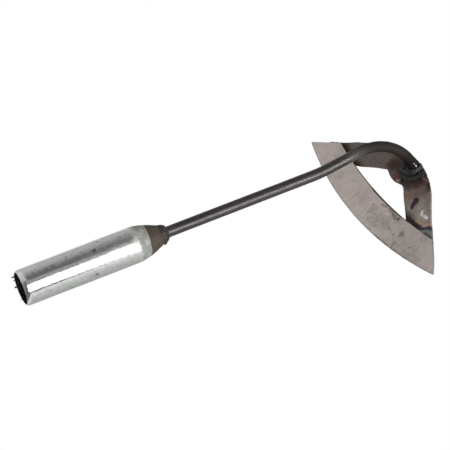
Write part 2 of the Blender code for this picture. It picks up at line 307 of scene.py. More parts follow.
class Graph:
    """The node tree of a new material or world."""

    def __init__(self, owner):
        self.owner = owner
        owner.use_nodes = True
        self.tree = owner.node_tree

    def make(self, kind, *inputs, props=(), **named):
        """Add a node; inputs go in by place, or by name with _ for a space."""
        node = self.tree.nodes.new("ShaderNode" + kind)
        for key, value in dict(props).items():
            setattr(node, key, value)
        for index, value in enumerate(inputs):
            self.put(node.inputs[index], value)
        self.put_named(node, named)
        return node

    def node(self, kind, *inputs, out=0, **rest):
        return Value(self, self.make(kind, *inputs, **rest).outputs[out])

    def put_named(self, node, named):
        for key, value in named.items():
            self.put(node.inputs[key.replace("_", " ")], value)

    def put(self, socket, value):
        if isinstance(value, Value):
            self.tree.links.new(value.socket, socket)
        elif isinstance(value, tuple):
            alpha = (1.0,) if len(socket.default_value) == 4 else ()
            socket.default_value = value + alpha
        else:
            socket.default_value = value

    def attr(self, name, out="Fac"):
        return self.node("Attribute", out=out, props=dict(attribute_name=name))

    def coords(self, scale=(1, 1, 1), turn=0.0):
        """The piece's own millimetres, turned about Z, then scaled."""
        turned = self.node("Mapping", props=dict(vector_type="POINT"),
                           Vector=self.attr("local", "Vector"), Rotation=(0, 0, turn))
        return self.node("VectorMath", turned, scale, props=dict(operation="MULTIPLY"))

    def noise(self, place, scale, detail=4.0, rough=0.55, dist=0.0):
        return self.node("TexNoise", out="Fac", Vector=place, Scale=scale, Detail=detail,
                         Roughness=rough, Distortion=dist)

    def bump(self, height, distance, strength=1.0):
        return self.node("Bump", Height=height, Distance=distance, Strength=strength)

    def finish(self, **inputs):
        """Fill in the Principled shader and give back the material."""
        self.put_named(self.tree.nodes["Principled BSDF"], inputs)
        return self.owner

    def output(self, node_name, shader):
        self.put(self.tree.nodes[node_name].inputs["Surface"], shader)


def material_graph(name):
    return Graph(bpy.data.materials.new(name))


# ---------------------------------------------------------------------------
# Materials
# ---------------------------------------------------------------------------
def zinc_material():
    g = material_graph("galvanised_zinc")
    place = g.coords()
    swell = g.noise(place, scale=0.085, detail=3.0, rough=0.6, dist=0.4)
    mottle = g.noise(place, scale=0.42, detail=5.0, rough=0.62)
    grain = g.noise(place, scale=2.6, rough=0.6)
    cells = g.node("TexVoronoi", out="Color", props=dict(feature="F1"),
                   Vector=g.coords(scale=(0.55, 1, 1)), Scale=0.33)
    spangle = g.node("SeparateColor", Color=cells)
    drawn = g.noise(g.coords(scale=(0.02, 1, 1)), scale=1.1, detail=3.0)
    stain = g.attr("stain").math("MULTIPLY", mottle.remap((0.3, 0.65), to=(0.6, 1.2)), clamp=True)
    halo, burn, cut = g.attr("halo"), g.attr("burn"), g.attr("cut")

    grey_halo = mottle.ramp((0.3, (0.165, 0.170, 0.153)), (0.7, (0.255, 0.260, 0.236)))
    brown = g.noise(place, scale=0.7, detail=5.0, rough=0.65).ramp(
        (0.3, (0.042, 0.032, 0.026)), (0.6, (0.070, 0.054, 0.043)), (0.85, (0.104, 0.083, 0.068)))
    base = mottle.ramp((0.25, (0.56, 0.575, 0.565)), (0.5, (0.71, 0.73, 0.715)),
                       (0.8, (0.82, 0.84, 0.825)))
    base = base.cover(spangle.remap((0, 1), to=(0.0, 0.14)), (0.54, 0.56, 0.55))
    base = base.cover(stain, (0.085, 0.083, 0.08))
    base = base.cover(halo * 0.95, grey_halo)
    base = base.cover(burn, brown)
    base = base.cover(g.attr("line"), (0.030, 0.024, 0.019))
    # painted highlight: near white on one stretch of the rear rim
    base = base.cover(g.attr("glint"), (0.93, 0.94, 0.93))
    base = base.cover(cut, (0.035, 0.034, 0.034))

    rough = g.attr("rgh") + mottle.remap((0.3, 0.7), to=(-0.03, 0.05)) + stain * 0.30
    rough = rough.toward(halo, 0.82).toward(burn, 0.62).toward(cut, 0.55)
    height = swell * 0.9 + mottle * 0.26 + grain * 0.035 + drawn * 0.05
    metal = burn.remap((0, 1), to=(1.0, 0.1)).math("SUBTRACT", halo * 0.72, clamp=True)
    return g.finish(Base_Color=base, Metallic=metal, Roughness=rough,
                    Specular_IOR_Level=burn.remap((0, 1), to=(0.5, 0.18)),
                    Normal=g.bump(height, distance=0.00016))


# the bore: dark oxidised steel, painted darker still as shade deep inside the tube
def inside_material():
    g = material_graph("tube_inside")
    mottle = g.noise(g.coords(), scale=0.5, detail=5.0)
    base = mottle.ramp((0.3, (0.012, 0.011, 0.010)), (0.7, (0.05, 0.045, 0.04)))
    return g.finish(Base_Color=base, Metallic=0.3, Roughness=0.75,
                    Normal=g.bump(mottle, distance=0.0004, strength=0.6))


def scale_material():
    g = material_graph("mill_scale_bar")
    place = g.coords()
    mottle = g.noise(place, scale=0.30, detail=5.0, rough=0.6)
    grain = g.noise(place, scale=2.2, rough=0.6)
    streak = g.noise(g.coords(scale=(0.04, 1, 1)), scale=1.6)
    gloss = g.noise(g.coords(scale=(0.11, 1, 1)), scale=0.5, rough=0.6)
    flake = g.noise(place, scale=0.9, detail=6.0, rough=0.7, dist=0.5)
    flake = flake.ramp((0.60, 0.0), (0.68, 1.0))
    bend = g.attr("bend")
    wrinkle = g.attr("wrinkle")

    base = mottle.ramp((0.25, (0.011, 0.0075, 0.0080)), (0.5, (0.022, 0.0155, 0.0155)),
                       (0.78, (0.044, 0.033, 0.031)))
    base = base.cover(flake * 0.35, (0.085, 0.072, 0.068))
    base = base.cover(bend * 0.7, grain.ramp((0.3, (0.011, 0.0090, 0.0080)),
                                             (0.7, (0.029, 0.0245, 0.0220))))
    wrinkle = wrinkle.math("MULTIPLY", grain.remap((0.35, 0.65), to=(0.0, 0.8)), clamp=True)
    base = base.cover(wrinkle, (0.11, 0.105, 0.095))
    base = base.cover(g.attr("burnt") * 0.9, (0.007, 0.0062, 0.0062))

    rough = gloss.remap((0.32, 0.68), to=(0.25, 0.46))
    rough = rough + g.attr("farther") * 0.03 + flake * 0.12 + bend * 0.33
    height = mottle * 0.32 + (grain * 0.035 + streak * 0.10) + bend * grain * 0.25
    rim = g.node("LayerWeight", out="Facing", Blend=0.5) ** 3.0
    # reflections fade towards the silhouette and in the hook
    specular = rim.remap((0.0, 1.0), to=(0.5, 0.06)) * bend.remap((0.0, 1.0), to=(1.0, 0.20))
    return g.finish(Base_Color=base, Metallic=0.1, Roughness=rough, IOR=1.62,
                    Specular_IOR_Level=specular, Normal=g.bump(height, distance=0.00009))


def plate_material():
    g = material_graph("bracket_plate")
    place = g.coords()
    mottle = g.noise(place, scale=0.28, detail=6.0, rough=0.62)
    grain = g.noise(place, scale=1.7, detail=5.0, rough=0.65)
    scratch = g.noise(g.coords(scale=(0.12, 1, 1), turn=0.9), scale=2.6, detail=3.0)
    base = g.attr("tint", "Color").shade(mottle.ramp((0.25, 0.70), (0.5, 1.0), (0.8, 1.28)))
    base = base.shade(grain.ramp((0.25, 0.84), (0.75, 1.14)))
    base = base.cover(scratch.ramp((0.66, 0.0), (0.72, 1.0)) * 0.14, (0.32, 0.29, 0.27))
    rough = g.attr("rgh") + grain.remap((0.3, 0.7), to=(-0.05, 0.07))
    return g.finish(Base_Color=base, Metallic=0.72, Roughness=rough,
                    Normal=g.bump(mottle * 0.7 + grain * 0.18, distance=0.00016))


def blade_material():
    g = material_graph("ground_blade_steel")
    grind = math.radians(15.0)
    broad = g.noise(g.coords(scale=(0.045, 1.0, 1.0), turn=grind), scale=1.15, rough=0.6)
    thin = g.noise(g.coords(scale=(0.025, 1.0, 1.0), turn=grind), scale=3.6, detail=3.0, rough=0.6)
    place = g.coords()
    mottle = g.noise(place, scale=0.12, detail=5.0, rough=0.6)
    grain = g.noise(place, scale=0.8, detail=5.0, rough=0.65)
    speck = g.noise(place, scale=1.1, detail=6.0, rough=0.75).ramp((0.68, 0.0), (0.76, 1.0))
    base = g.attr("tint", "Color").shade(broad.ramp((0.30, 0.81), (0.5, 1.0), (0.70, 1.14)))
    base = base.shade(thin.ramp((0.28, 0.86), (0.72, 1.10)))
    base = base.shade(mottle.ramp((0.3, 0.92), (0.7, 1.06)))
    base = base.cover(speck * 0.45, (0.16, 0.14, 0.13))
    rough = g.attr("rgh") + broad.remap((0.3, 0.7), to=(-0.05, 0.06))
    height = broad * 0.35 + thin * 0.14 + grain * 0.10
    return g.finish(Base_Color=base, Metallic=0.9, Roughness=rough, Anisotropic=0.35,
                    Normal=g.bump(height, distance=0.00006))


def weld_material(name, dark, light, rough, metal=0.75):
    g = material_graph(name)
    place = g.coords()
    mottle = g.noise(place, scale=0.5, detail=6.0, rough=0.65)
    grain = g.noise(place, scale=2.4, detail=5.0, rough=0.65)
    middle = (np.array(dark) + np.array(light)) / 2
    base = mottle.ramp((0.25, dark), (0.55, middle), (0.85, light))
    return g.finish(Base_Color=base, Metallic=metal,
                    Roughness=mottle.remap((0.3, 0.7), to=(rough - 0.1, rough + 0.12)),
                    Normal=g.bump(mottle + grain * 0.25, distance=0.00025, strength=0.9))


ZINC = zinc_material()
INSIDE = inside_material()
SCALE = scale_material()
PLATE = plate_material()
BLADE = blade_material()
WELD = weld_material("weld_bead", (0.022, 0.021, 0.022), (0.12, 0.125, 0.13), rough=0.42)
SOOT = weld_material("weld_sooty", (0.012, 0.011, 0.011), (0.055, 0.052, 0.05), rough=0.6,
                     metal=0.4)
NECK = weld_material("weld_neck", (0.011, 0.0105, 0.0105), (0.052, 0.050, 0.049), rough=0.55,
                     metal=0.45)
BRIGHT = weld_material("weld_bright", (0.34, 0.33, 0.33), (0.74, 0.72, 0.72), rough=0.5,
                       metal=0.9)
RING = weld_material("weld_ring", (0.012, 0.011, 0.012), (0.050, 0.049, 0.047), rough=0.55,
                     metal=0.4)
SPATTER = weld_material("weld_spatter", (0.03, 0.028, 0.028), (0.16, 0.15, 0.145), rough=0.38)


# ---------------------------------------------------------------------------
# Handle frame: origin at the tube's open rear end, X down the tube to the head
# ---------------------------------------------------------------------------
PITCH, YAW, LEAN = math.radians(35.0), math.radians(1.9), math.radians(18.2)
AXIS = Vector((math.cos(PITCH) * math.cos(YAW), math.cos(PITCH) * math.sin(YAW),
               -math.sin(PITCH)))
LEVEL = Vector((0, 0, 1)).cross(AXIS).normalized()
SIDE = LEVEL * math.cos(LEAN) - AXIS.cross(LEVEL) * math.sin(LEAN)
HANDLE = frame_matrix(AXIS, SIDE, AXIS.cross(SIDE), Vector((-209.1, -8.7, 209.7)) * MM)

# ---------------------------------------------------------------------------
# Handle tube
# ---------------------------------------------------------------------------
TUBE_R, WALL = 13.45, 1.5
BARREL, TUBE_LEN = 88.4, 112.4    # the nose tapers between these
MOUTH_R = 6.6
BURN_X = 100.2                    # where the burnt end of the nose starts

# shallow pits: x, turn in degrees, radius, depth, darkness
PITS = [
    (56.9, 127.8, 1.25, 0.16, 1.0), (58.2, 124.5, 0.8, 0.10, 0.8), (63.0, 98.1, 0.9, 0.06, 0.55),
    (63.2, 136.4, 0.8, 0.05, 0.5), (58.3, 151.2, 0.55, 0.04, 0.5), (36.6, 112.4, 0.8, 0.05, 0.7),
    (53.6, -155.4, 1.5, 0.12, 0.7), (52.0, -153.0, 0.8, 0.06, 0.5), (34.0, -137.6, 0.9, 0.10, 0.85),
    (17.7, -162.9, 0.7, 0.05, 0.5), (71.0, 20.0, 1.2, 0.10, 0.7), (28.0, -60.0, 1.0, 0.08, 0.8),
    (45.0, 62.0, 0.9, 0.06, 0.6), (80.0, -80.0, 0.8, 0.06, 0.6), (84.0, 112.0, 0.6, 0.04, 0.5),
    (79.0, 118.0, 0.7, 0.04, 0.5)]
# smudged clouds: x, turn in degrees, length, spread in degrees, strength
CLOUDS = [(40, 119, 8, 12, 0.55), (24, 126, 9, 9, 0.55), (9, 124, 8, 8, 0.4),
          (79, 118, 10, 12, 0.22), (57, 112, 7, 12, 0.2), (66, 131, 7, 8, 0.2),
          (60, 10, 16, 26, 0.35), (20, -70, 14, 30, 0.3)]
# torn burrs on the rear rim: turn in degrees, x, length, width
BURRS = [(28, -0.3, 1.25, 0.62), (347, -0.2, 1.0, 0.55), (12, 0.0, 0.6, 0.4), (-60, 0.0, 0.6, 0.35)]


def nose_radius(x, barrel_r, mouth_r):
    share = np.clip((x - BARREL) / (TUBE_LEN - BARREL), 0, 1)
    return mouth_r + (barrel_r - mouth_r) * (1.0 - share ** 1.68)


def tube_profile():
    """(x, radius) from the nose mouth back over the rim and up the bore, and part sizes."""
    outer_x = np.concatenate([np.linspace(3.2, BARREL - 1, 120),
                              np.linspace(BARREL - 0.5, TUBE_LEN, 62)])
    outer = np.column_stack([outer_x, nose_radius(outer_x, TUBE_R, MOUTH_R)])[::-1]
    roll = np.linspace(0.08, math.pi / 2, 12)
    rim = np.column_stack([3.2 - 3.2 * np.sin(roll), TUBE_R - 1.55 + 1.55 * np.cos(roll)])
    lip = [(0.12, TUBE_R - 1.85), (0.5, TUBE_R - 1.98), (1.4, TUBE_R - 1.9), (3.0, TUBE_R - WALL)]
    bore_x = np.linspace(8, TUBE_LEN, 46)
    bore_r = np.maximum(4.15, nose_radius(bore_x, TUBE_R - WALL, 3.7))
    # how far each rim and lip point follows the beaten-in lip
    follow = np.concatenate([np.zeros(len(outer)), np.sin(roll) ** 3, [1.0, 1.0, 0.75, 0.25],
                             np.zeros(len(bore_x))])
    profile = np.vstack([outer, rim, lip, np.column_stack([bore_x, bore_r])])
    return profile, len(outer) + len(rim), follow


def build_tube():
    segments = 224
    profile, outer_count, follow = tube_profile()
    x, turn = np.meshgrid(profile[:, 0], np.linspace(0, 2 * math.pi, segments, endpoint=False))
    plain_r = np.tile(profile[:, 1], (segments, 1))
    points = around(x, plain_r, turn)
    is_out = np.arange(len(profile)) < outer_count

    # long soft dents, and the flats and crease on the nose
    swage = smooth(BARREL + 1, BARREL + 12, x)
    flats = np.abs(np.cos(4.5 * turn + 0.3)) ** 0.7
    shift = 0.055 * fbm(points * [0.5, 1, 1], 17.0, 3, seed=11) + 0.02 * fbm(points, 4.0, 3, seed=5)
    shift = shift - 0.20 * swage * (1 - flats) + swage * 0.06 * fbm(points, 2.6, 3, seed=23)
    shift = shift - 0.22 * swage * bell(turn_from(turn, 103) * plain_r, 0, 0.55)
    shift = shift - 0.10 * bell(x, 96, 1.0) * (0.5 + 0.5 * fbm(points, 9, 2, seed=31))
    shift = np.where(is_out, shift, 0.03 * fbm(points, 5.0, 2, seed=3))

    stain = np.zeros_like(x)
    for pit_x, degrees, size, depth, dark in PITS:
        arc = turn_from(turn, degrees) * plain_r
        ragged = size * (1.0 + 0.45 * fbm(points, 1.2, 3, seed=int(pit_x)))
        away = np.sqrt(((x - pit_x) * 0.85) ** 2 + arc ** 2) / ragged
        shift = shift - np.where(is_out, depth * np.exp(-away ** 2 * 1.4), 0)
        stain = np.maximum(stain, dark * (1 - smooth(0.55, 1.15, away)))
    cloud = np.zeros_like(x)
    for cloud_x, degrees, length, spread, strength in CLOUDS:
        off = np.degrees(turn_from(turn, degrees))
        cloud = np.maximum(cloud, strength * bell(x, cloud_x, length) * bell(off, 0, spread))
    speck = np.clip(fbm(points * [0.75, 1, 1], 1.9, 5, seed=77) * 2.2 + 0.2, 0, 1)
    stain = np.clip(stain + cloud * speck * 0.9, 0, 1)

    # the lip is beaten inward on one side
    beaten = bell(np.degrees(turn_from(turn, 163)), 0, 46.0)
    swell = 0.12 + 0.12 * smooth(0, 80, x) * (1 - smooth(96, 110, x))
    radius = plain_r - 1.35 * beaten * follow + shift + np.where(is_out, swell, 0)
    points = around(x, radius, turn)

    # burnt nose with a dark line at its start and a grey halo behind it
    wobble = 0.45 * fbm(around(0.0, 6, turn), 3.5, 3, seed=9)
    edge = x - (BURN_X - 0.9 * (1 + np.cos(turn + math.radians(114)))) - wobble
    burn = smooth(-0.15, 0.35, edge)
    line = np.maximum(bell(edge, 0.35, 0.42) * 0.95,
                      0.7 * smooth(107.6, 110.6, x + 0.6 * fbm(points, 3.0, 3, seed=47)))
    halo = (smooth(-13.0, -6.5, edge + 1.2 * fbm(points, 5.0, 3, seed=41)) * (1 - burn)
            * np.clip(0.95 + 0.2 * fbm(points, 3.0, 3, seed=42), 0, 1))
    rim_wear = (1 - smooth(0.0, 2.6, x)) * is_out
    rim_specks = np.clip(fbm(points, 2.0, 3, seed=91) + 0.3, 0, 1)
    stain = np.clip(stain + rim_wear * 0.25 * rim_specks, 0, 1)

    # the cut rim is bare and dark, with a painted highlight, near white and matte, on one hammered
    # stretch
    bright = bell(np.degrees(turn_from(turn, 122)), 0, 20.0)
    cut = (smooth(12.30, 11.95, plain_r) * (1 - smooth(2.0, 3.0, x))
           * (1 - 0.95 * smooth(0.35, 0.75, bright)))
    glint = smooth(0.30, 0.62, bright) * (1 - smooth(2.6, 5.2, x))
    rough = 0.115 + 0.15 * smooth(20, 92, x) + 0.03 * fbm(points, 6.0, 3, seed=55) + 0.40 * glint

    inside = np.tile(np.arange(len(profile)) >= outer_count + 3, segments)
    faces = grid_faces(segments, len(profile), wrap_rows=True, wrap_cols=True)
    obj = add_mesh("tube_handle", points.reshape(-1, 3), faces, [ZINC, INSIDE], HANDLE,
                   sharp=50, face_material=inside)
    add_attributes(obj, stain=stain, burn=burn, line=line, halo=halo,
                   cut=np.where(x > 3.5, 0, cut), glint=np.where(is_out, glint, 0), rgh=rough)
    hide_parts("handle_tube")


def build_burrs():
    rim_r = 12.25
    for i, (degrees, x, length, width) in enumerate(BURRS):
        radial = around(0.0, 1.0, math.radians(degrees))
        lean = unit(np.array([-0.9, 0.44 * radial[1], 0.44 * radial[2]]))
        across = unit(np.cross(lean, radial))
        lump("rim_burr_%d" % (i + 1), radial * rim_r + [x - 0.3, 0, 0],
             (length, width, width * 0.7), SOOT, seed=60 + i, rough=0.65, steps=16,
             axes=[lean, across, np.cross(lean, across)], frame=HANDLE)


build_tube()
build_burrs()

# ---------------------------------------------------------------------------
# Neck bar, in the handle frame's XZ plane
# ---------------------------------------------------------------------------
ROD_R = 4.25
ROD_START, RISE_START = 94.0, 239.8
RISE_R, RISE_ANGLE = 115.0, math.radians(6.9)
RISE_STRAIGHT = 30.5
HOOK_R, HOOK_ANGLE = 41.0, math.radians(79.4)

# drops round the neck weld: x, turn in degrees, distance from the axis, size
NECK_DROPS = [(112.4, -113, 7.0, 1.15), (110.4, 118, 7.6, 0.55), (113.6, 160, 5.9, 0.7),
              (112.4, 95, 6.9, 0.75), (106.0, 170, 9.2, 0.28), (120.5, 140, 4.2, 0.3),
              (123.0, -150, 4.2, 0.26), (112.0, 20, 7.0, 0.7)]


def rod_path():
    """Stations (x, z, slope): straight, a slight rise, straight, then the hook down."""
    cos_rise, sin_rise = math.cos(RISE_ANGLE), math.sin(RISE_ANGLE)
    path = [(x, 0.0, 0.0) for x in np.arange(ROD_START, RISE_START, 0.9)]
    path += [(RISE_START + RISE_R * math.sin(a), RISE_R * (1 - math.cos(a)), a)
             for a in np.linspace(0, RISE_ANGLE, 16)]
    x, z, _ = path[-1]
    path += [(x + s * cos_rise, z + s * sin_rise, RISE_ANGLE)
             for s in np.linspace(0, RISE_STRAIGHT, 36)[1:]]
    x, z, _ = path[-1]
    for a in np.linspace(0, HOOK_ANGLE, 72)[1:]:
        ahead, drop = HOOK_R * math.sin(a), HOOK_R * (1 - math.cos(a))
        path.append((x + ahead * cos_rise + drop * sin_rise,
                     z + ahead * sin_rise - drop * cos_rise, RISE_ANGLE - a))
    return np.array(path)


ROD_PATH = rod_path()


def build_rod():
    segments = 72
    turn = np.linspace(0, 2 * math.pi, segments, endpoint=False)
    x, z, slope = ROD_PATH.T
    normal = xyz(-np.sin(slope), 0, np.cos(slope))
    centre = xyz(x, 0, z)[:, None, :]
    spokes = (np.cos(turn)[None, :, None] * normal[:, None, :]
              + np.sin(turn)[None, :, None] * np.array([0, 1.0, 0]))
    plain = centre + ROD_R * spokes
    bend = smooth(236, 262, x)[:, None]
    hook = smooth(272, 285, x)[:, None]
    radius = (ROD_R + 0.03 * fbm(plain * [0.3, 1, 1], 7.0, 3, seed=2)
              + (0.005 + 0.03 * hook) * fbm(plain, 1.6, 3, seed=8))
    # the inside of the hook is flattened, with faint wrinkles
    inside = np.clip(-np.cos(turn), 0, 1)
    radius = radius - hook * inside * (0.10 + 0.05 * np.sin(z * 2.2)[:, None])
    radius = radius - bend * 0.05 * bell(x, 252, 3.0)[:, None]
    grid = centre + radius[..., None] * spokes
    obj = add_mesh("neck_bar", *closed_sweep(grid), [SCALE], HANDLE, sharp=60)

    run = run_length(ROD_PATH[:, :2]) + ROD_START

    def per_vertex(values):
        return np.concatenate([np.repeat(values, segments), [0, values[-1]]])

    add_attributes(obj, bend=per_vertex(smooth(269, 284, run)),
                   farther=per_vertex(smooth(130, 185, run) * smooth(252, 236, run)),
                   wrinkle=per_vertex(bell(run, 280, 8.0)),
                   burnt=per_vertex(smooth(run[-1] - 20, run[-1] - 9, run)))
    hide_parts("neck_rod")


def build_neck_weld():
    """Rippled collar closing the tube's nose onto the bar."""
    start, end = TUBE_LEN - 2.7, TUBE_LEN + 4.2
    turn, share = np.meshgrid(np.linspace(0, 2 * math.pi, 120, endpoint=False),
                              np.linspace(0, 1, 44))
    x = start + (end - start) * share
    radius = 4.10 + 3.55 * np.sqrt(np.clip(1 - share ** 1.5, 0, 1))
    points = around(x, radius, turn)
    ripple = np.sin(turn * 17 + 2.2 * share + 1.3 * fbm(points, 4.0, 2, seed=1)) * 0.16
    fade = np.sin(np.pi * np.clip(share * 0.92 + 0.06, 0, 1))
    radius = radius + (ripple + 0.34 * fbm(points, 2.2, 4, seed=14)) * fade
    x = x + 0.7 * fbm(points, 3.5, 2, seed=19) * share
    sweep = closed_sweep(around(x, radius, turn), flip=True)
    obj = add_mesh("neck_weld_bead", *sweep, [NECK], HANDLE)
    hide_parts("neck_weld")
    for i, (drop_x, degrees, away, size) in enumerate(NECK_DROPS):
        lump("neck_spatter_%d" % (i + 1), around(drop_x, away, math.radians(degrees)),
             (size * 1.2, size, size), NECK, seed=100 + i, rough=0.3, steps=12, frame=HANDLE)


build_rod()
build_neck_weld()

# ---------------------------------------------------------------------------
# Blade outline and bracket plate
# ---------------------------------------------------------------------------
HALF_CHORD, EDGE_R, EDGE_MID = 95.7, 323.0, -14.5    # cutting edge arc, towards -X
BACK_HALF, BACK_R, BACK_MID = 70.3, 410.0, 11.3      # back edge arc, towards +X
BLADE_T = 2.0
PLATE_T, CROWN_Z, FOOT_Z = 2.8, 0.8, -2.3
PLATE_ROUND = 0.45
FOOT_IN, FOOT_REACH = 12.8, 11.2    # how far the feet run under the blade, at either corner
ARM_CENTRE, ARM_R = np.array([-15.0, 0.0]), 67.0
# by side (+1 left, -1 right): outer inset, y of the inner corner, y it is aimed from
FEET = {1: (-2.0, 43.5, 15.0), -1: (2.4, 35.5, 13.0)}

# inner outline of the plate (x, y): left side, ragged front of the hollow, right side
HOLLOW_LEFT = [(13.7, 43.4), (18.5, 34.8), (23.5, 25.7), (27.9, 17.7)]
HOLLOW_FRONT = [(29.4, 15.2), (29.9, 13.4), (29.6, 11.4), (28.9, 9.2), (28.1, 6.6), (27.6, 4.1),
                (27.35, 1.7), (27.4, -0.7), (27.7, -2.8), (28.3, -5.0), (29.0, -7.2),
                (29.35, -9.2), (29.3, -11.2), (28.9, -12.8)]
HOLLOW_RIGHT = [(27.7, -14.9), (24.0, -20.0), (18.5, -27.6), (12.9, -35.5), (9.8, -39.7)]


def edge_x(y):
    return EDGE_MID + EDGE_R - np.sqrt(EDGE_R ** 2 - np.square(y))


def back_x(y):
    return BACK_MID + BACK_R - np.sqrt(BACK_R ** 2 - np.square(y))


def plate_z(x, y):
    """Top of the plate: low under the blade, stepping up to the crown."""
    return FOOT_Z + (CROWN_Z - FOOT_Z) * smooth(1.5, 14.5, x - back_x(y))


TIP = np.array([edge_x(HALF_CHORD), HALF_CHORD])
HEEL = np.array([back_x(BACK_HALF), BACK_HALF])
END_DIR = unit(HEEL - TIP)
END_NORMAL = np.array([-END_DIR[1], END_DIR[0]])


def foot_line(side):
    """The two corners of one foot under the blade: outer side, hollow side."""
    inset, base_y, aim_y = FEET[side]
    outer = HEEL - END_DIR * FOOT_IN - END_NORMAL * inset
    base = np.array([back_x(base_y), base_y])
    inner = base + unit(base - np.array([29.4, aim_y])) * FOOT_REACH
    return outer * [1, side], inner * [1, side]


def outer_arm(side):
    start = math.atan2(END_NORMAL[1], END_NORMAL[0])
    arc = [ARM_CENTRE + ARM_R * np.array([math.cos(a), math.sin(a)])
           for a in np.linspace(start, 0, 60)]
    return np.vstack([foot_line(side)[0], np.array(arc) * [1, side]])


def plate_section():
    """Rows (share of width, added mm, z) round the rounded section, and each row's part.

    Parts: 0 top, 1-3 inner edge going down, 4 bottom, 5-7 outer edge going up.
    """
    r, depth = PLATE_ROUND, PLATE_T
    quarter = np.linspace(0, math.pi / 2, 6)
    upright = np.linspace(0.15, 0.85, 4)
    parts = [
        [(a, r * (1 - 2 * a), 0.0) for a in np.linspace(0, 1, 64)],
        [(1, r * (math.sin(q) - 1), r * (math.cos(q) - 1)) for q in quarter[1:]],
        [(1, 0, -r - (depth - 2 * r) * b) for b in upright],
        [(1, r * (math.cos(q) - 1), r - depth - r * math.sin(q)) for q in quarter[:-1]],
        [(a, r * (1 - 2 * a), -depth) for a in np.linspace(1, 0, 22)],
        [(0, r * (1 - math.sin(q)), r - depth - r * math.cos(q)) for q in quarter[1:]],
        [(0, 0, r - depth + (depth - 2 * r) * b) for b in upright],
        [(0, r * (1 - math.cos(q)), r * (math.sin(q) - 1)) for q in quarter[:-1]]]
    return np.vstack(parts).T, np.repeat(range(8), [len(rows) for rows in parts])


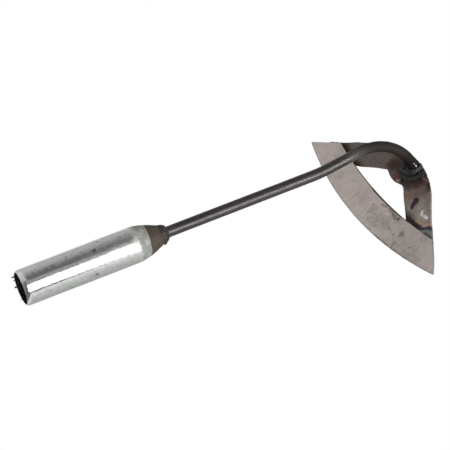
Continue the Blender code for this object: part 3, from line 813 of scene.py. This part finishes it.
def paint_plate(obj, verts, across, under):
    """Scale, weld heat tints, burnt rims, and painted light and shade; across is 0 at the outer
    edge, 1 at the inner.
    """
    x, y = verts[:, 0], verts[:, 1]
    flat = xyz(x, y, 0)
    coarse, fine = fbm(flat, 7.0, 4, seed=51), fbm(flat, 2.2, 4, seed=52)
    paint = Paint((99, 89, 87), len(verts))
    lay = paint.lay

    def glow(cx, cy, rx, ry):
        return bell(x, cx, rx) * bell(y, cy, ry)

    def oval(cx, cy, rx, ry):
        return np.hypot((x - cx) / rx, (y - cy) / ry)

    # the right arm: painted lighter than the left, as light falls on it, with a painted highlight
    # along its middle, painted shade at its outer edge higher up, and lighter at that edge lower
    # down and along its inner edge
    right = smooth(-8, -20, y)
    lay((132, 122, 116), right)
    lay((92, 82, 78), right * smooth(0.48, 0.10, across) * 0.8 * smooth(-42, -26, y))
    lay((152, 143, 138), right * bell(across, 0.45, 0.30) * 0.75 * smooth(-26, -44, y))
    lay((124, 113, 111), right * smooth(0.30, 0.08, across) * smooth(-22, -29, y) * 0.85)
    lay((118, 106, 98), right * smooth(0.82, 0.98, across) * 0.6)
    # weld heat round the bar, the hollow's dark patch, and painted shadow by the bar's foot
    heat = np.hypot(x - 44.5, (y + 7.5) * 0.92) + 1.6 * coarse + 0.8 * fine
    lay((104, 86, 77), smooth(31, 23, heat) * 0.55)
    lay((78, 62, 55), smooth(27, 20, heat) * 0.75 * (1 - right * 0.55))
    lay((126, 106, 96), bell(heat, 19.5, 2.6) * 0.45 * right)
    lay((58, 44, 44), smooth(19, 14.5, heat) * 0.9)
    hollow = oval(35.6, 9.0, 6.6, 7.4) + 0.16 * fine
    lay((72, 56, 50), smooth(1.5, 0.9, hollow) * 0.75)
    lay((48, 37, 34), smooth(1.05, 0.35, hollow) * 0.9)
    lay((104, 60, 58), glow(31.5, 0.6, 2.4, 2.4) * 0.85)
    lay((165, 135, 128), glow(29.8, -4.4, 1.6, 1.8) * 0.75)
    lay((96, 84, 92), glow(31.0, 5.5, 3.0, 3.0) * 0.6)
    lay((36, 33, 34), smooth(13.5, 9.5, heat) * 0.9)
    lay((72, 70, 66), glow(40.4, 3.2, 2.0, 1.8) * 0.5)
    # painted shadow, partly soot: black beside the bar's foot, and dark round the heap towards the
    # plate's outer edge
    lay((17, 16, 17), smooth(1.25, 0.7, oval(44.4, 0.2, 3.4, 6.2) + 0.12 * fine) * 0.96)
    lay((34, 30, 29), smooth(1.2, 0.7, oval(48.8, -15.5, 4.6, 8.0) + 0.22 * fine) * 0.9)
    lay((30, 24, 20), smooth(1.2, 0.6, oval(33.6, -7.3, 2.6, 2.4) + 0.15 * fine) * 0.8)
    # burnt black outer rim beside the weld
    rim = smooth(0.20, 0.02, across) * smooth(26, 18, np.hypot(x - 48, y + 12))
    lay((26, 24, 24), rim * 0.95)
    # a painted highlight: a short light streak on the burnt rim
    lay((146, 126, 112), glow(45.8, -23.5, 1.3, 4.0) * 0.6)
    # left foot, beside the blade's back edge
    from_blade = x - back_x(y)
    left = y > 0
    lay((74, 52, 38), left * smooth(9.0, 3.0, from_blade + 1.2 * coarse) * 0.85)
    lay((34, 26, 22), left * smooth(4.4, 1.6, from_blade + 0.8 * fine) * 0.95)
    lay((120, 104, 92), left * bell(from_blade, 8.0, 2.0) * 0.35)
    # right foot: bands of temper colour following a front that widens outwards
    off_mid = np.abs(y)
    front = from_blade - (3.9 + 4.5 * smooth(53, 60, off_mid)) + 0.5 * fine
    foot = ~left * smooth(16, 8, from_blade)
    far = smooth(51, 55, off_mid)
    lay((152, 133, 120), foot * smooth(5.0, 1.6, front) * smooth(38, 50, off_mid))
    lay((84, 73, 65), foot * smooth(4.2, 1.2, front) * smooth(46, 36, off_mid) * 0.85)
    lay((172, 142, 120), foot * bell(front, 1.3, 1.3) * 0.6 * smooth(38, 56, off_mid))
    lay((150, 98, 62), foot * bell(front, 0.5, 0.6) * 0.6 * smooth(52, 57, off_mid))
    lay((74, 54, 46), foot * smooth(0.9, -0.1, front) * 0.9)
    lay((52, 36, 50), foot * smooth(-0.35, -1.0, front) * 0.97)
    lay((70, 68, 88), foot * smooth(-1.7, -2.4, front) * 0.9 * far)
    lay((100, 104, 108), foot * smooth(-2.7, -3.4, front) * 0.95 * far)
    lay((116, 124, 112), foot * smooth(-3.6, -4.4, front) * 0.95 * far)
    lay((88, 76, 88), foot * smooth(-5.6, -6.8, front) * 0.9 * far)
    lay((44, 33, 33), foot * smooth(4.0, 2.8, from_blade) * smooth(52, 46, off_mid) * 0.95)
    # a dark elongated mark on the right arm, and a painted highlight there: a broad soft patch and
    # two bright streaks
    share, away = to_segment(x, y, (23.6, -33.5), (29.2, -32.5))
    waist = 1.65 + 0.9 * share
    lay((42, 32, 30), smooth(waist + 0.5, waist - 0.4, away + 0.3 * fine) * 0.95)
    lay((160, 151, 146), glow(26.0, -49.0, 4.5, 6.0) * 0.55)
    painted_arm_glint = (bell(to_segment(x, y, (26.8, -43.8), (24.6, -45.2))[1], 0, 0.95)
             + bell(to_segment(x, y, (25.2, -48.0), (26.2, -51.2))[1], 0, 1.15))
    painted_arm_glint = np.clip(painted_arm_glint, 0, 1)
    lay((240, 228, 226), painted_arm_glint * 0.9)
    lay((112, 78, 54), smooth(0.75, 1.1, fbm(flat, 3.0, 5, seed=70)) * 0.4)    # rust freckles

    # the face underneath keeps its mill scale, tinted round the weld above
    below = Paint((82, 75, 73), len(verts))
    below.colours = below.colours * (1 + 0.22 * coarse + 0.14 * fine)[:, None]
    for rgb, outer, inner, amount in [((96, 76, 62), 24, 17, 0.6), ((70, 56, 66), 17, 12, 0.7),
                                      ((58, 64, 82), 12.5, 9, 0.6), ((46, 42, 42), 8, 4, 0.7)]:
        below.lay(rgb, smooth(outer, inner, heat) * amount)
    below.lay((112, 78, 56), smooth(0.55, 0.95, fbm(flat, 4.0, 5, seed=74)) * 0.45)
    below.lay((62, 50, 46), smooth(6.0, 1.0, from_blade + fine) * 0.7)
    paint.colours += (below.colours - paint.colours) * under[:, None]
    paint.store(obj, gain=1.12)
    rough = (0.40 + 0.06 * coarse + 0.14 * smooth(18, 12, heat) + 0.16 * rim
             - 0.16 * painted_arm_glint * (1 - under))
    add_attributes(obj, rgh=np.clip(rough, 0.2, 0.85))


def build_bracket():
    arm_count = 150
    outer = np.vstack([even(outer_arm(1), arm_count), even(outer_arm(-1), arm_count)[::-1][1:]])
    left = spline([foot_line(1)[1]] + HOLLOW_LEFT + HOLLOW_FRONT[:8], arm_count)
    right = spline(HOLLOW_FRONT[7:] + HOLLOW_RIGHT + [foot_line(-1)[1]], arm_count)
    span = np.vstack([left, right[1:]]) - outer
    width = np.linalg.norm(span, axis=1)[:, None]
    inward = span / width
    (share, added, height), part = plate_section()
    reach = width * share + added
    across = reach / width
    xy = outer[:, None] + inward[:, None] * reach[..., None]
    x, y = xy[..., 0], xy[..., 1]
    grid = xyz(x, y, plate_z(x, y) + height)

    # the arms are dished and slightly warped; a dribble stands on the hollow's front
    free = smooth(1.0, 7.0, x - back_x(y))
    dish = (-0.9 * bell(x, 24, 7.0) * bell(y, -48, 9.0)
            - 0.5 * bell(x, 27, 8.0) * bell(y, 50, 12.0))
    crown = 0.55 * np.sin(np.pi * np.clip(across, 0, 1)) * smooth(0, 14, x - back_x(y))
    squat = grid * [1, 1, 0.3]
    warp = 0.10 * fbm(squat, 14.0, 3, seed=6) + 0.04 * fbm(squat, 3.5, 3, seed=16)
    dribble = (0.75 * bell(x, 30.2, 2.6) * bell(y, 0.6, 4.2)
               + 0.35 * bell(x, 30.5, 2.0) * bell(y, -6.5, 2.4))
    grid[..., 2] += free * (dish + crown + warp) + dribble * (part <= 1)
    # uneven edges, roughest near the bar
    near_bar = smooth(30, 18, np.hypot(x - 45, y + 7))
    ragged = 0.14 * fbm(grid, 1.6, 3, seed=44) * (0.6 + 1.4 * near_bar)
    outward = np.where(part >= 5, -1.0, 1.0) * ~np.isin(part, (0, 4))
    grid[..., :2] += inward[:, None] * (ragged * outward)[..., None]

    verts, faces = closed_sweep(grid, flip=True)
    obj = add_mesh("head_plate", verts, faces, [PLATE], sharp=50)
    under = np.tile(np.isin(part, (3, 4, 5)).astype(float), len(outer))
    paint_plate(obj, verts, np.append(across.ravel(), [0.5, 0.5]), np.append(under, [0.0, 0.0]))
    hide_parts("head_bracket")


build_bracket()

# ---------------------------------------------------------------------------
# Blade
# ---------------------------------------------------------------------------
TIP_TRIM = 1.6        # how far back the two tips are rounded
BEVEL = 9.0           # width of the bevel under the cutting edge
BEVEL_TOP = 0.38      # depth below z = 0 at which the bevel starts

FAINT, SPECK = (104, 94, 91), (86, 74, 68)
# marks on the top face: x, y, radius x, radius y, colour, strength, raggedness, turn, grain
BLOTCHES = [
    (7.9, -10.2, 0.8, 1.8, (118, 108, 98), 0.75, 0.6, 0.3, 1.6),
    (8.9, -13.9, 0.9, 2.0, (108, 96, 84), 0.8, 0.6, 0.2, 1.6),
    (9.5, -20.0, 1.3, 5.5, (134, 120, 106), 0.75, 0.7, -0.05, 1.8),
    (9.2, -26.8, 1.7, 4.4, (122, 107, 96), 0.75, 0.8, -0.1, 1.8),
    (9.9, -32.2, 1.3, 2.4, (98, 84, 74), 0.75, 0.7, 0, 1.6),
    (7.6, -30.0, 0.7, 2.6, (104, 90, 80), 0.6, 0.7, 0.4, 1.6),
    (3.6, -45.3, 2.4, 2.8, (124, 108, 98), 0.7, 0.7, 0, 2.2),
    (4.0, -38.7, 0.6, 1.3, (186, 178, 140), 0.55, 0.5, 0.6, 1.4),
    (12.6, -56.0, 1.0, 1.6, (176, 172, 138), 0.5, 0.6, 0.2, 1.4),
    (-5.6, -46.8, 1.8, 2.2, (128, 116, 122), 0.5, 0.7, 0, 1.8),
    (-1.1, -34.0, 0.7, 3.0, FAINT, 0.45, 1.0, 0.0, 1.1),
    (-1.7, -39.8, 0.8, 2.4, FAINT, 0.5, 1.0, -0.3, 1.1),
    (-4.2, -43.6, 0.8, 1.8, FAINT, 0.42, 1.0, -0.75, 1.1),
    (-8.3, -46.4, 0.8, 2.0, FAINT, 0.55, 1.0, -0.95, 1.1),
    (1.6, -30.6, 0.6, 2.2, FAINT, 0.3, 1.0, -0.8, 1.1),
    (-10.6, -48.0, 0.8, 1.3, FAINT, 0.5, 1.0, -0.9, 1.1),
    (-2.0, -6.0, 5.5, 3.4, (146, 137, 136), 0.5, 1.1, 0, 1.6),
    (-6.6, -14.0, 4.0, 5.0, (142, 134, 134), 0.4, 1.1, 0, 1.6),
    (-0.5, -24.0, 5.0, 6.0, (150, 140, 138), 0.35, 1.1, 0, 1.8),
    (-3.6, -70.0, 4.0, 12.0, (152, 143, 138), 0.45, 1.0, 0, 2.0),
    (-9.6, -56.0, 2.2, 14.0, (140, 130, 124), 0.4, 0.9, 0, 2.6)]
BLOTCHES += [(x, y, radius, radius * 1.2, SPECK, 0.7, 0.5, 0, 1.0) for x, y, radius in [
    (3.0, -3.0, 0.7), (-4.0, 9.0, 0.5), (1.5, -16.0, 0.6), (-8.0, -20.0, 0.55), (4.0, 30.0, 0.5),
    (-2.0, 52.0, 0.5), (0.5, -60.0, 0.6), (6.0, -66.0, 0.5)]]


def blade_outline():
    """Matching points on the cutting edge and the back edge, from right to left."""
    columns, tip_columns = 420, 7
    along = np.linspace(-1, 1, columns)
    start_y = HALF_CHORD - TIP_TRIM
    edge = np.stack([edge_x(start_y * along), start_y * along], -1)
    back = np.stack([back_x(BACK_HALF * along), BACK_HALF * along], -1)
    # the last few columns swing round the tips onto the end edges
    start = np.array([edge_x(start_y), start_y])
    end = TIP + END_DIR * TIP_TRIM
    t = np.linspace(0, 1, tip_columns)[:, None]
    knee = TIP * 0.62 + 0.19 * (start + end)
    tip_edge = (1 - t) ** 2 * start + 2 * (1 - t) * t * knee + t * t * end
    tip_y = BACK_HALF * (1 - 0.004 * np.arange(tip_columns - 1, -1, -1))
    tip_back = np.stack([back_x(tip_y), tip_y], -1)
    for line, tip in ((edge, tip_edge), (back, tip_back)):
        line[-tip_columns:] = tip
        line[:tip_columns] = (tip * [1, -1])[::-1]
    return edge, back


def blade_section():
    """Rows (share of width, share of bevel, z): edge, top, back, underside, bevel."""
    rows = [(0, 0, -0.10)]
    rows += [(s, 0, 0.0) for s in (0.008, 0.02, 0.035, 0.05, *np.linspace(0.07, 0.985, 58))]
    rows += [(0.995, 0, -0.06), (1, 0, -0.30), (1, 0, -1.0), (1, 0, -1.75), (0.994, 0, -1.95)]
    rows += [(s, 1 - s, -BLADE_T) for s in np.linspace(0.97, 0.0, 14)]
    rows += [(0, s, -BEVEL_TOP - (BLADE_T - BEVEL_TOP) * s) for s in np.linspace(0.92, 0.04, 10)]
    rows += [(0, 0, -0.36)]
    return np.array(rows).T


def paint_blade(obj, verts, across):
    """Grinding shades, marks and painted shade along the edges; across is 0 at the cutting edge, 1
    at the back.
    """
    x, y, z = verts.T
    flat = xyz(x, y, 0)
    coarse, fine = fbm(flat, 9.0, 4, seed=61), fbm(flat, 2.6, 4, seed=62)
    paint = Paint((190, 180, 176), len(verts))
    lay = paint.lay
    lay((170, 160, 160), smooth(0.0, 0.8, coarse) * 0.5)
    # painted shade: darker lines along the cutting edge, browner along part of it, and along the
    # back edge, whose wall is painted dark too
    from_edge, from_back = across * 26, (1 - across) * 26
    lay((96, 90, 90), smooth(0.9, 0.2, from_edge + 0.25 * fine) * 0.7)
    lay((104, 94, 86), smooth(1.9, 0.6, from_edge + 0.5 * fine) * 0.6
        * smooth(-22, -30, y) * smooth(-74, -62, y))
    lay((44, 38, 36), smooth(0.95, 0.45, from_back + 0.12 * fine) * 0.9
        * smooth(44, 38, np.abs(y)))
    lay((40, 34, 32), smooth(1.7, 0.9, from_back + 0.25 * fine) * 0.9
        * smooth(-35, -31, y) * smooth(16, 6, y))
    lay((52, 48, 46), (z < -0.28) * (across > 0.99) * 0.9)
    # the under face is left dark from the mill
    under = smooth(-0.3, -0.6, z) * smooth(0.30, 0.42, across)
    lay((92, 88, 88), under * 0.8)

    top = z > -0.5
    for cx, cy, rx, ry, rgb, amount, ragged, turn, grain in BLOTCHES:
        cos_turn, sin_turn = math.cos(turn), math.sin(turn)
        along = (x - cx) * cos_turn + (y - cy) * sin_turn
        aside = -(x - cx) * sin_turn + (y - cy) * cos_turn
        noise = fbm(flat, grain, 4, seed=int(abs(cx * 7 + cy * 3)) + 5)
        away = np.sqrt((along / rx) ** 2 + (aside / ry) ** 2) + ragged * noise
        lay(rgb, (1 - smooth(0.55, 1.2, away)) * amount * top)
    paint.store(obj, gain=1.075)
    add_attributes(obj, rgh=np.clip(0.42 + 0.05 * coarse + under * 0.1, 0.25, 0.8))


def build_blade():
    edge, back = blade_outline()
    width = np.linalg.norm(back - edge, axis=1)[:, None]
    inward = (back - edge) / width
    share, bevel_share, height = blade_section()
    reach = width * share + np.minimum(BEVEL, 0.8 * width) * bevel_share
    across = reach / width
    xy = edge[:, None] + inward[:, None] * reach[..., None]
    x, y = xy[..., 0], xy[..., 1]
    grid = xyz(x, y, height)
    # ground face: barely uneven, eased towards the cutting edge; edge lightly nicked
    is_top = (share > 0) & (height > -0.1)
    uneven = 0.05 * fbm(xyz(x, y, 0), 22.0, 3, seed=3) - 0.10 * smooth(0.12, 0.0, across)
    uneven += 0.012 * fbm(xyz(x * 0.15 + y * 0.05, y - x * 0.27, 0), 1.0, 2, seed=4)
    grid[..., 2] += np.where(is_top, uneven - 0.04, 0)
    by_y = xyz(0, y, 0)
    nick = (0.16 * np.clip(fbm(by_y, 3.2, 4, seed=21) - 0.25, 0, 1)
            + 0.05 * fbm(by_y, 1.1, 2, seed=22))
    grid[..., :2] += inward[:, None] * (nick * smooth(0.06, 0.0, across))[..., None]

    verts, faces = closed_sweep(grid)
    obj = add_mesh("blade_ground", verts, faces, [BLADE], sharp=28)
    paint_blade(obj, verts, np.append(across.ravel(), [0.5, 0.5]))
    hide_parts("blade")


build_blade()

# ---------------------------------------------------------------------------
# Welds on the head
# ---------------------------------------------------------------------------
ROD_END = np.array(HANDLE @ Vector((ROD_PATH[-1][0] * MM, 0, ROD_PATH[-1][1] * MM)) / MM)
ROD_DOWN = np.array((HANDLE.to_3x3() @ Vector((math.cos(ROD_PATH[-1][2]), 0,
                                               math.sin(ROD_PATH[-1][2])))).normalized())
BEAD_TAPER = 0.45    # share of a bead's length over which each end tapers

# runs beside the bar: name, centre line, width, height, material, seed, ripple, ripple pitch
BEADS = [
    ("head_weld_bead", [(37.6, 3.4), (37.9, -0.2), (38.8, -4.8), (40.9, -8.9), (44.0, -11.3),
                        (48.2, -11.4)], 3.3, 1.7, WELD, 5, 0.07, 1.5),
    ("head_weld_outer_bead", [(34.9, -1.6), (34.9, -5.6), (36.8, -10.7), (40.6, -14.4),
                              (45.6, -16.2), (48.6, -15.6)], 3.6, 0.55, SOOT, 9, 0.06, 2.1),
    ("head_weld_start", [(41.2, 5.2), (44.8, 4.6), (48.6, 1.8)], 3.2, 0.8, SOOT, 15, 0.07, 1.8)]
# bright drops on the bar: centre, length, width
DROPS = [((48.2, -10.0, 8.5), 1.3, 0.46), ((48.05, -10.8, 5.9), 1.4, 0.62),
         ((46.1, -11.5, 4.2), 0.8, 0.4)]
# sooty heap between the bar and the plate's outer edge: centre, radii
HEAP = [((49.3, -8.6, 1.3), (1.5, 2.0, 1.2)), ((49.0, -12.4, 1.3), (1.8, 2.2, 1.3)),
        ((48.9, -16.4, 1.1), (1.7, 2.3, 1.1)), ((48.4, -20.3, 0.9), (1.3, 2.0, 0.7)),
        ((46.3, -14.4, 1.3), (1.6, 1.8, 0.8)), ((45.8, -18.2, 1.0), (1.4, 1.6, 0.5))]
# spatter on the plate and under the blade: x, y, size
PLATE_SPATTER = [(33.0, 8.6, 0.32), (40.2, 11.0, 0.26), (36.0, -19.4, 0.3), (44.2, -21.0, 0.34),
                 (29.8, 22.4, 0.22), (47.4, -19.0, 0.4), (22.8, 36.0, 0.2), (31.2, -16.2, 0.24),
                 (26.4, -26.8, 0.2), (35.2, 13.8, 0.22)]
BLADE_SPATTER = [(4.6, 58.0, 0.35), (5.8, 72.0, 0.4), (3.6, -48.5, 0.35), (5.2, -66.0, 0.45),
                 (1.4, 66.0, 0.25), (0.6, -58.0, 0.3)]


def build_ring():
    """Fillet round the bar where it stands on the crown."""
    up = -ROD_DOWN
    side = unit(np.cross(up, [1.0, 0, 0]))
    rows, cols = 150, 28
    turn = np.linspace(0, 2 * math.pi, rows, endpoint=False)[:, None]
    section = np.linspace(0, 2 * math.pi, cols, endpoint=False)
    foot = ROD_END + ROD_DOWN * ((0.9 - ROD_END[2]) / ROD_DOWN[2])
    radial = np.cos(turn) * np.cross(side, up) + np.sin(turn) * side
    # heaviest on the hollow's side, thin at the plate's outer edge
    heavy = (0.5 - 0.5 * (radial[:, 0] * 0.9 + radial[:, 1] * 0.1))[:, None]
    out = 1 + np.cos(section)
    away = ROD_R + 0.1 + (1.5 + 0.5 * heavy) * 0.5 * out * 1.15
    rise = (3.5 + 0.7 * heavy) * 0.5 * (1 + np.sin(section)) * (1.0 - 0.42 * out / 2)
    grid = foot + radial[:, None] * away[..., None] + up * rise[..., None]
    grid[..., 2] -= 0.35
    outward = unit(grid - grid.mean(1)[:, None])
    ripple = (0.13 * np.sin(turn * 19 + 1.5 * fbm(grid, 5, 2, seed=3))
              + 0.20 * fbm(grid, 1.9, 4, seed=31))
    grid = grid + outward * ripple[..., None]
    faces = grid_faces(rows, cols, wrap_rows=True, wrap_cols=True, flip=True)
    obj = add_mesh("head_weld_ring", grid.reshape(-1, 3), faces, [RING])
    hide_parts("head_weld")


def build_bead(name, points, width, height, material, seed, ripple, ripple_pitch):
    """A weld run on the plate: half-round section with tapered ends."""
    rows, cols, base_cols = 110, 34, 6
    centre = spline(points, rows)
    tangent = unit(np.gradient(centre, axis=0))
    normal = np.stack([-tangent[:, 1], tangent[:, 0]], -1)
    run = run_length(centre)[:, None]
    share = run / run[-1]
    taper = np.clip((BEAD_TAPER - np.minimum(share, 1 - share)) / BEAD_TAPER, 0, 1)
    fade = np.sqrt(np.clip(1 - taper ** 2, 0.012, 1))
    angle = np.linspace(0, math.pi, cols)
    half = width * 0.5 * fade * (1 + 0.12 * fbm(xyz(run, 0, 0), 4.0, 2, seed=seed))
    crest = height * fade * (1 + 0.12 * fbm(xyz(run, 9, 0), 5.0, 2, seed=seed))
    xy = centre[:, None] + normal[:, None] * (np.cos(angle) * half)[..., None]
    x, y = xy[..., 0], xy[..., 1]
    wave = np.sin((run + 0.9 * np.cos(angle) ** 2) * 2 * math.pi / ripple_pitch)
    lumpy = crest + ripple * wave * fade + 0.16 * fbm(xyz(x, y, 0), 1.7, 4, seed=seed + 3)
    crown_rise = 0.45 * smooth(0, 14, x - back_x(y))
    z = np.sin(angle) ** 0.85 * lumpy + plate_z(x, y) + crown_rise - 0.12
    grid = np.zeros((rows, cols + base_cols, 3))
    grid[:, :cols] = xyz(x, y, z)
    for k in range(base_cols):
        t = (k + 0.5) / base_cols
        grid[:, cols + k] = grid[:, cols - 1] * (1 - t) + grid[:, 0] * t - [0, 0, 0.5]
    add_mesh(name, *closed_sweep(grid, flip=True), [material])


def build_foot_fillet(name, node, side, seed):
    """Lumpy fillet under the blade, along the end of one foot."""
    outer, inner = foot_line(side)
    along = unit(inner - outer)
    out = np.array([-along[1], along[0]])
    if out[0] > 0:
        out = -out
    rows, cols, end_gap = 130, 26, 0.7
    t = np.linspace(0, 1, rows)[:, None]
    fade = np.sqrt(np.clip(1 - np.abs(2 * t - 1) ** 7, 0.02, 1))
    run = t * (np.linalg.norm(inner - outer) - 2 * end_gap)
    angle = np.linspace(0, math.pi / 2, cols)
    ripple = (0.055 * np.sin(run * 2 * math.pi / 1.7 + 2.0 * angle ** 2)
              + 0.07 * fbm(xyz(run, angle * 3, 0), 1.8, 4, seed=seed + 4))
    swell = 1 + ripple * np.sin(2 * angle)
    leg = 2.7 * fade * (1 + 0.13 * fbm(xyz(run, 0, 0), 5.0, 3, seed=seed))
    reach = leg * np.sin(angle) ** 0.9 * swell
    drop = 2.75 * fade * np.cos(angle) ** 0.9 * swell
    line = outer + along * end_gap + along * run
    grid = np.zeros((rows, cols + 4, 3))
    grid[:, :cols, :2] = line[:, None] + out * (reach[..., None] - 0.05)
    grid[:, :cols, 2] = -BLADE_T - 0.02 - drop
    # back across, just inside the blade
    grid[:, cols:, 2] = -BLADE_T + 0.10
    for k in range(3):
        f = (k + 1) / 5
        grid[:, cols + k, :2] = grid[:, cols - 1, :2] * (1 - f) + grid[:, 0, :2] * f
    grid[:, cols + 3, :2] = line - out * 0.35
    obj = add_mesh(name, *closed_sweep(grid, flip=side > 0), [WELD])
    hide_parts(node)


def build_drops():
    cross = unit(np.cross(ROD_DOWN, [0.0, -1.0, 0.0]))
    axes = [ROD_DOWN, cross, np.cross(ROD_DOWN, cross)]
    for i, (centre, length, width) in enumerate(DROPS):
        lump("head_weld_bright_%d" % (i + 1), centre, (length, width, width * 0.8), BRIGHT,
             seed=120 + i, rough=0.25, steps=16, axes=axes)
    for i, (centre, radii) in enumerate(HEAP):
        lump("head_weld_heap_%d" % (i + 1), centre, radii, SOOT, seed=180 + i, rough=0.30,
             steps=26)
    for i, (x, y, size) in enumerate(PLATE_SPATTER):
        lump("head_spatter_%d" % (i + 1), (x, y, plate_z(x, y) + 0.5), (size * 1.2, size, size),
             SPATTER, seed=140 + i, rough=0.25, steps=10)


build_ring()
for bead in BEADS:
    build_bead(*bead)
build_drops()
build_foot_fillet("foot_weld_left", "blade_weld_left", side=1, seed=201)
build_foot_fillet("foot_weld_right", "blade_weld_right", side=-1, seed=231)
for i, (x, y, size) in enumerate(BLADE_SPATTER):
    lump("blade_spatter_%d" % (i + 1), (x, y, -BLADE_T - 0.05), (size * 1.2, size, size * 0.9),
         SPATTER, seed=160 + i, rough=0.25, steps=10)


# ---------------------------------------------------------------------------
# Floor, lights, world and camera (metres)
# ---------------------------------------------------------------------------
def build_floor():
    """Pale floor: plain white to the camera; to the rest it glows like a lamp, dim under the tool
    as a painted shadow and brighter further out; clear from below.
    """
    g = material_graph("pale_floor")
    camera_ray = g.node("LightPath", out="Is Camera Ray")
    away = g.node("VectorMath", g.node("TexCoord", out="Object"), out="Value",
                  props=dict(operation="LENGTH"))
    diffuse = g.node("BsdfDiffuse", Color=(0.42, 0.42, 0.42))
    white = g.node("Emission", Color=(1.0, 1.0, 1.0), Strength=1.0)
    # painted shadow: the glow is dim beneath the tool and rises with distance
    glow = g.node("Emission", Color=(1.0, 1.0, 0.99),
                  Strength=away.remap((0.45, 1.5), to=(0.10, 0.78)))
    shader = g.node("MixShader", camera_ray, g.node("AddShader", diffuse, glow), white)
    below = g.node("NewGeometry", out="Backfacing")
    g.output("Material Output", g.node("MixShader", below, shader, g.node("BsdfTransparent")))

    cells, half, z = 24, 3.0, -0.42
    ticks = [half * (2 * i / cells - 1) for i in range(cells + 1)]
    mesh = bpy.data.meshes.new("floor")
    mesh.from_pydata([(x, y, z) for x in ticks for y in ticks], [],
                     grid_faces(cells + 1, cells + 1))
    mesh.materials.append(g.owner)
    link_object("floor", mesh)


TUBE_AT = Vector((-0.16, -0.007, 0.175))
VIEW = Vector((0.1244, -0.6977, 0.7055))
VIEW_ACROSS = (VIEW - AXIS * VIEW.dot(AXIS)).normalized()
DOWNWARD = Vector((-0.402, -0.686, -0.607)).normalized()


def softbox(name, mirror_degrees, distance, width, radiance, length=1.10):
    """A rectangular light where a tube facet turned half that angle from the viewer looks."""
    angle = math.radians(mirror_degrees)
    z = ((VIEW_ACROSS * math.cos(angle) + DOWNWARD * math.sin(angle)) * 0.947
         + AXIS * 0.32).normalized()
    x = (AXIS - z * AXIS.dot(z)).normalized()
    light = bpy.data.lights.new(name, "AREA")
    light.shape = "RECTANGLE"
    light.size, light.size_y = length, width
    light.energy = radiance * math.pi * length * width
    obj = link_object(name, light)
    obj.matrix_world = frame_matrix(x, z.cross(x), z, TUBE_AT + z * distance)
    obj.visible_camera = False


def build_world():
    """Room light: dim in front, brighter behind; white to the camera."""
    world = bpy.data.worlds.new("studio")
    bpy.context.scene.world = world
    g = Graph(world)
    ray = g.node("TexCoord", out="Generated")
    facing = g.node("VectorMath", ray, (-0.15, 0.80, 0.58), out="Value",
                    props=dict(operation="DOT_PRODUCT"))
    rise = facing.remap((0.3, 1.0), to=(0.0, 1.0)) ** 1.3
    strength = g.node("Math", rise, 0.61, 0.18, props=dict(operation="MULTIPLY_ADD"))
    room = g.tree.nodes["Background"]
    g.put_named(room, dict(Color=(1.0, 0.995, 0.985), Strength=strength))
    white = g.node("Background", Color=(1.0, 1.0, 1.0), Strength=1.0)
    camera_ray = g.node("LightPath", out="Is Camera Ray")
    g.output("World Output", g.node("MixShader", camera_ray, Value(g, room.outputs[0]), white))


def build_camera():
    data = bpy.data.cameras.new("camera")
    data.sensor_fit = "HORIZONTAL"
    data.sensor_width = 36.0
    data.lens = 121.68
    data.clip_start, data.clip_end = 0.01, 50.0
    camera = link_object("camera", data)
    camera.matrix_world = Matrix(((0.699076, 0.704142, 0.124405, 0.059154574),
                                  (-0.442918, 0.563006, -0.697745, -0.802868064),
                                  (-0.561352, 0.432676, 0.705461, 0.911311805),
                                  (0, 0, 0, 1)))
    scene = bpy.context.scene
    scene.camera = camera
    scene.view_settings.view_transform = "Standard"
    scene.view_settings.look = "None"


build_floor()
softbox("key", mirror_degrees=16.5, distance=0.80, width=0.68, radiance=1.9)
softbox("key_core", mirror_degrees=24, distance=0.78, width=0.13, radiance=12.0)
softbox("key_wing", mirror_degrees=-20, distance=0.90, width=0.30, radiance=0.22)
build_world()
build_camera()
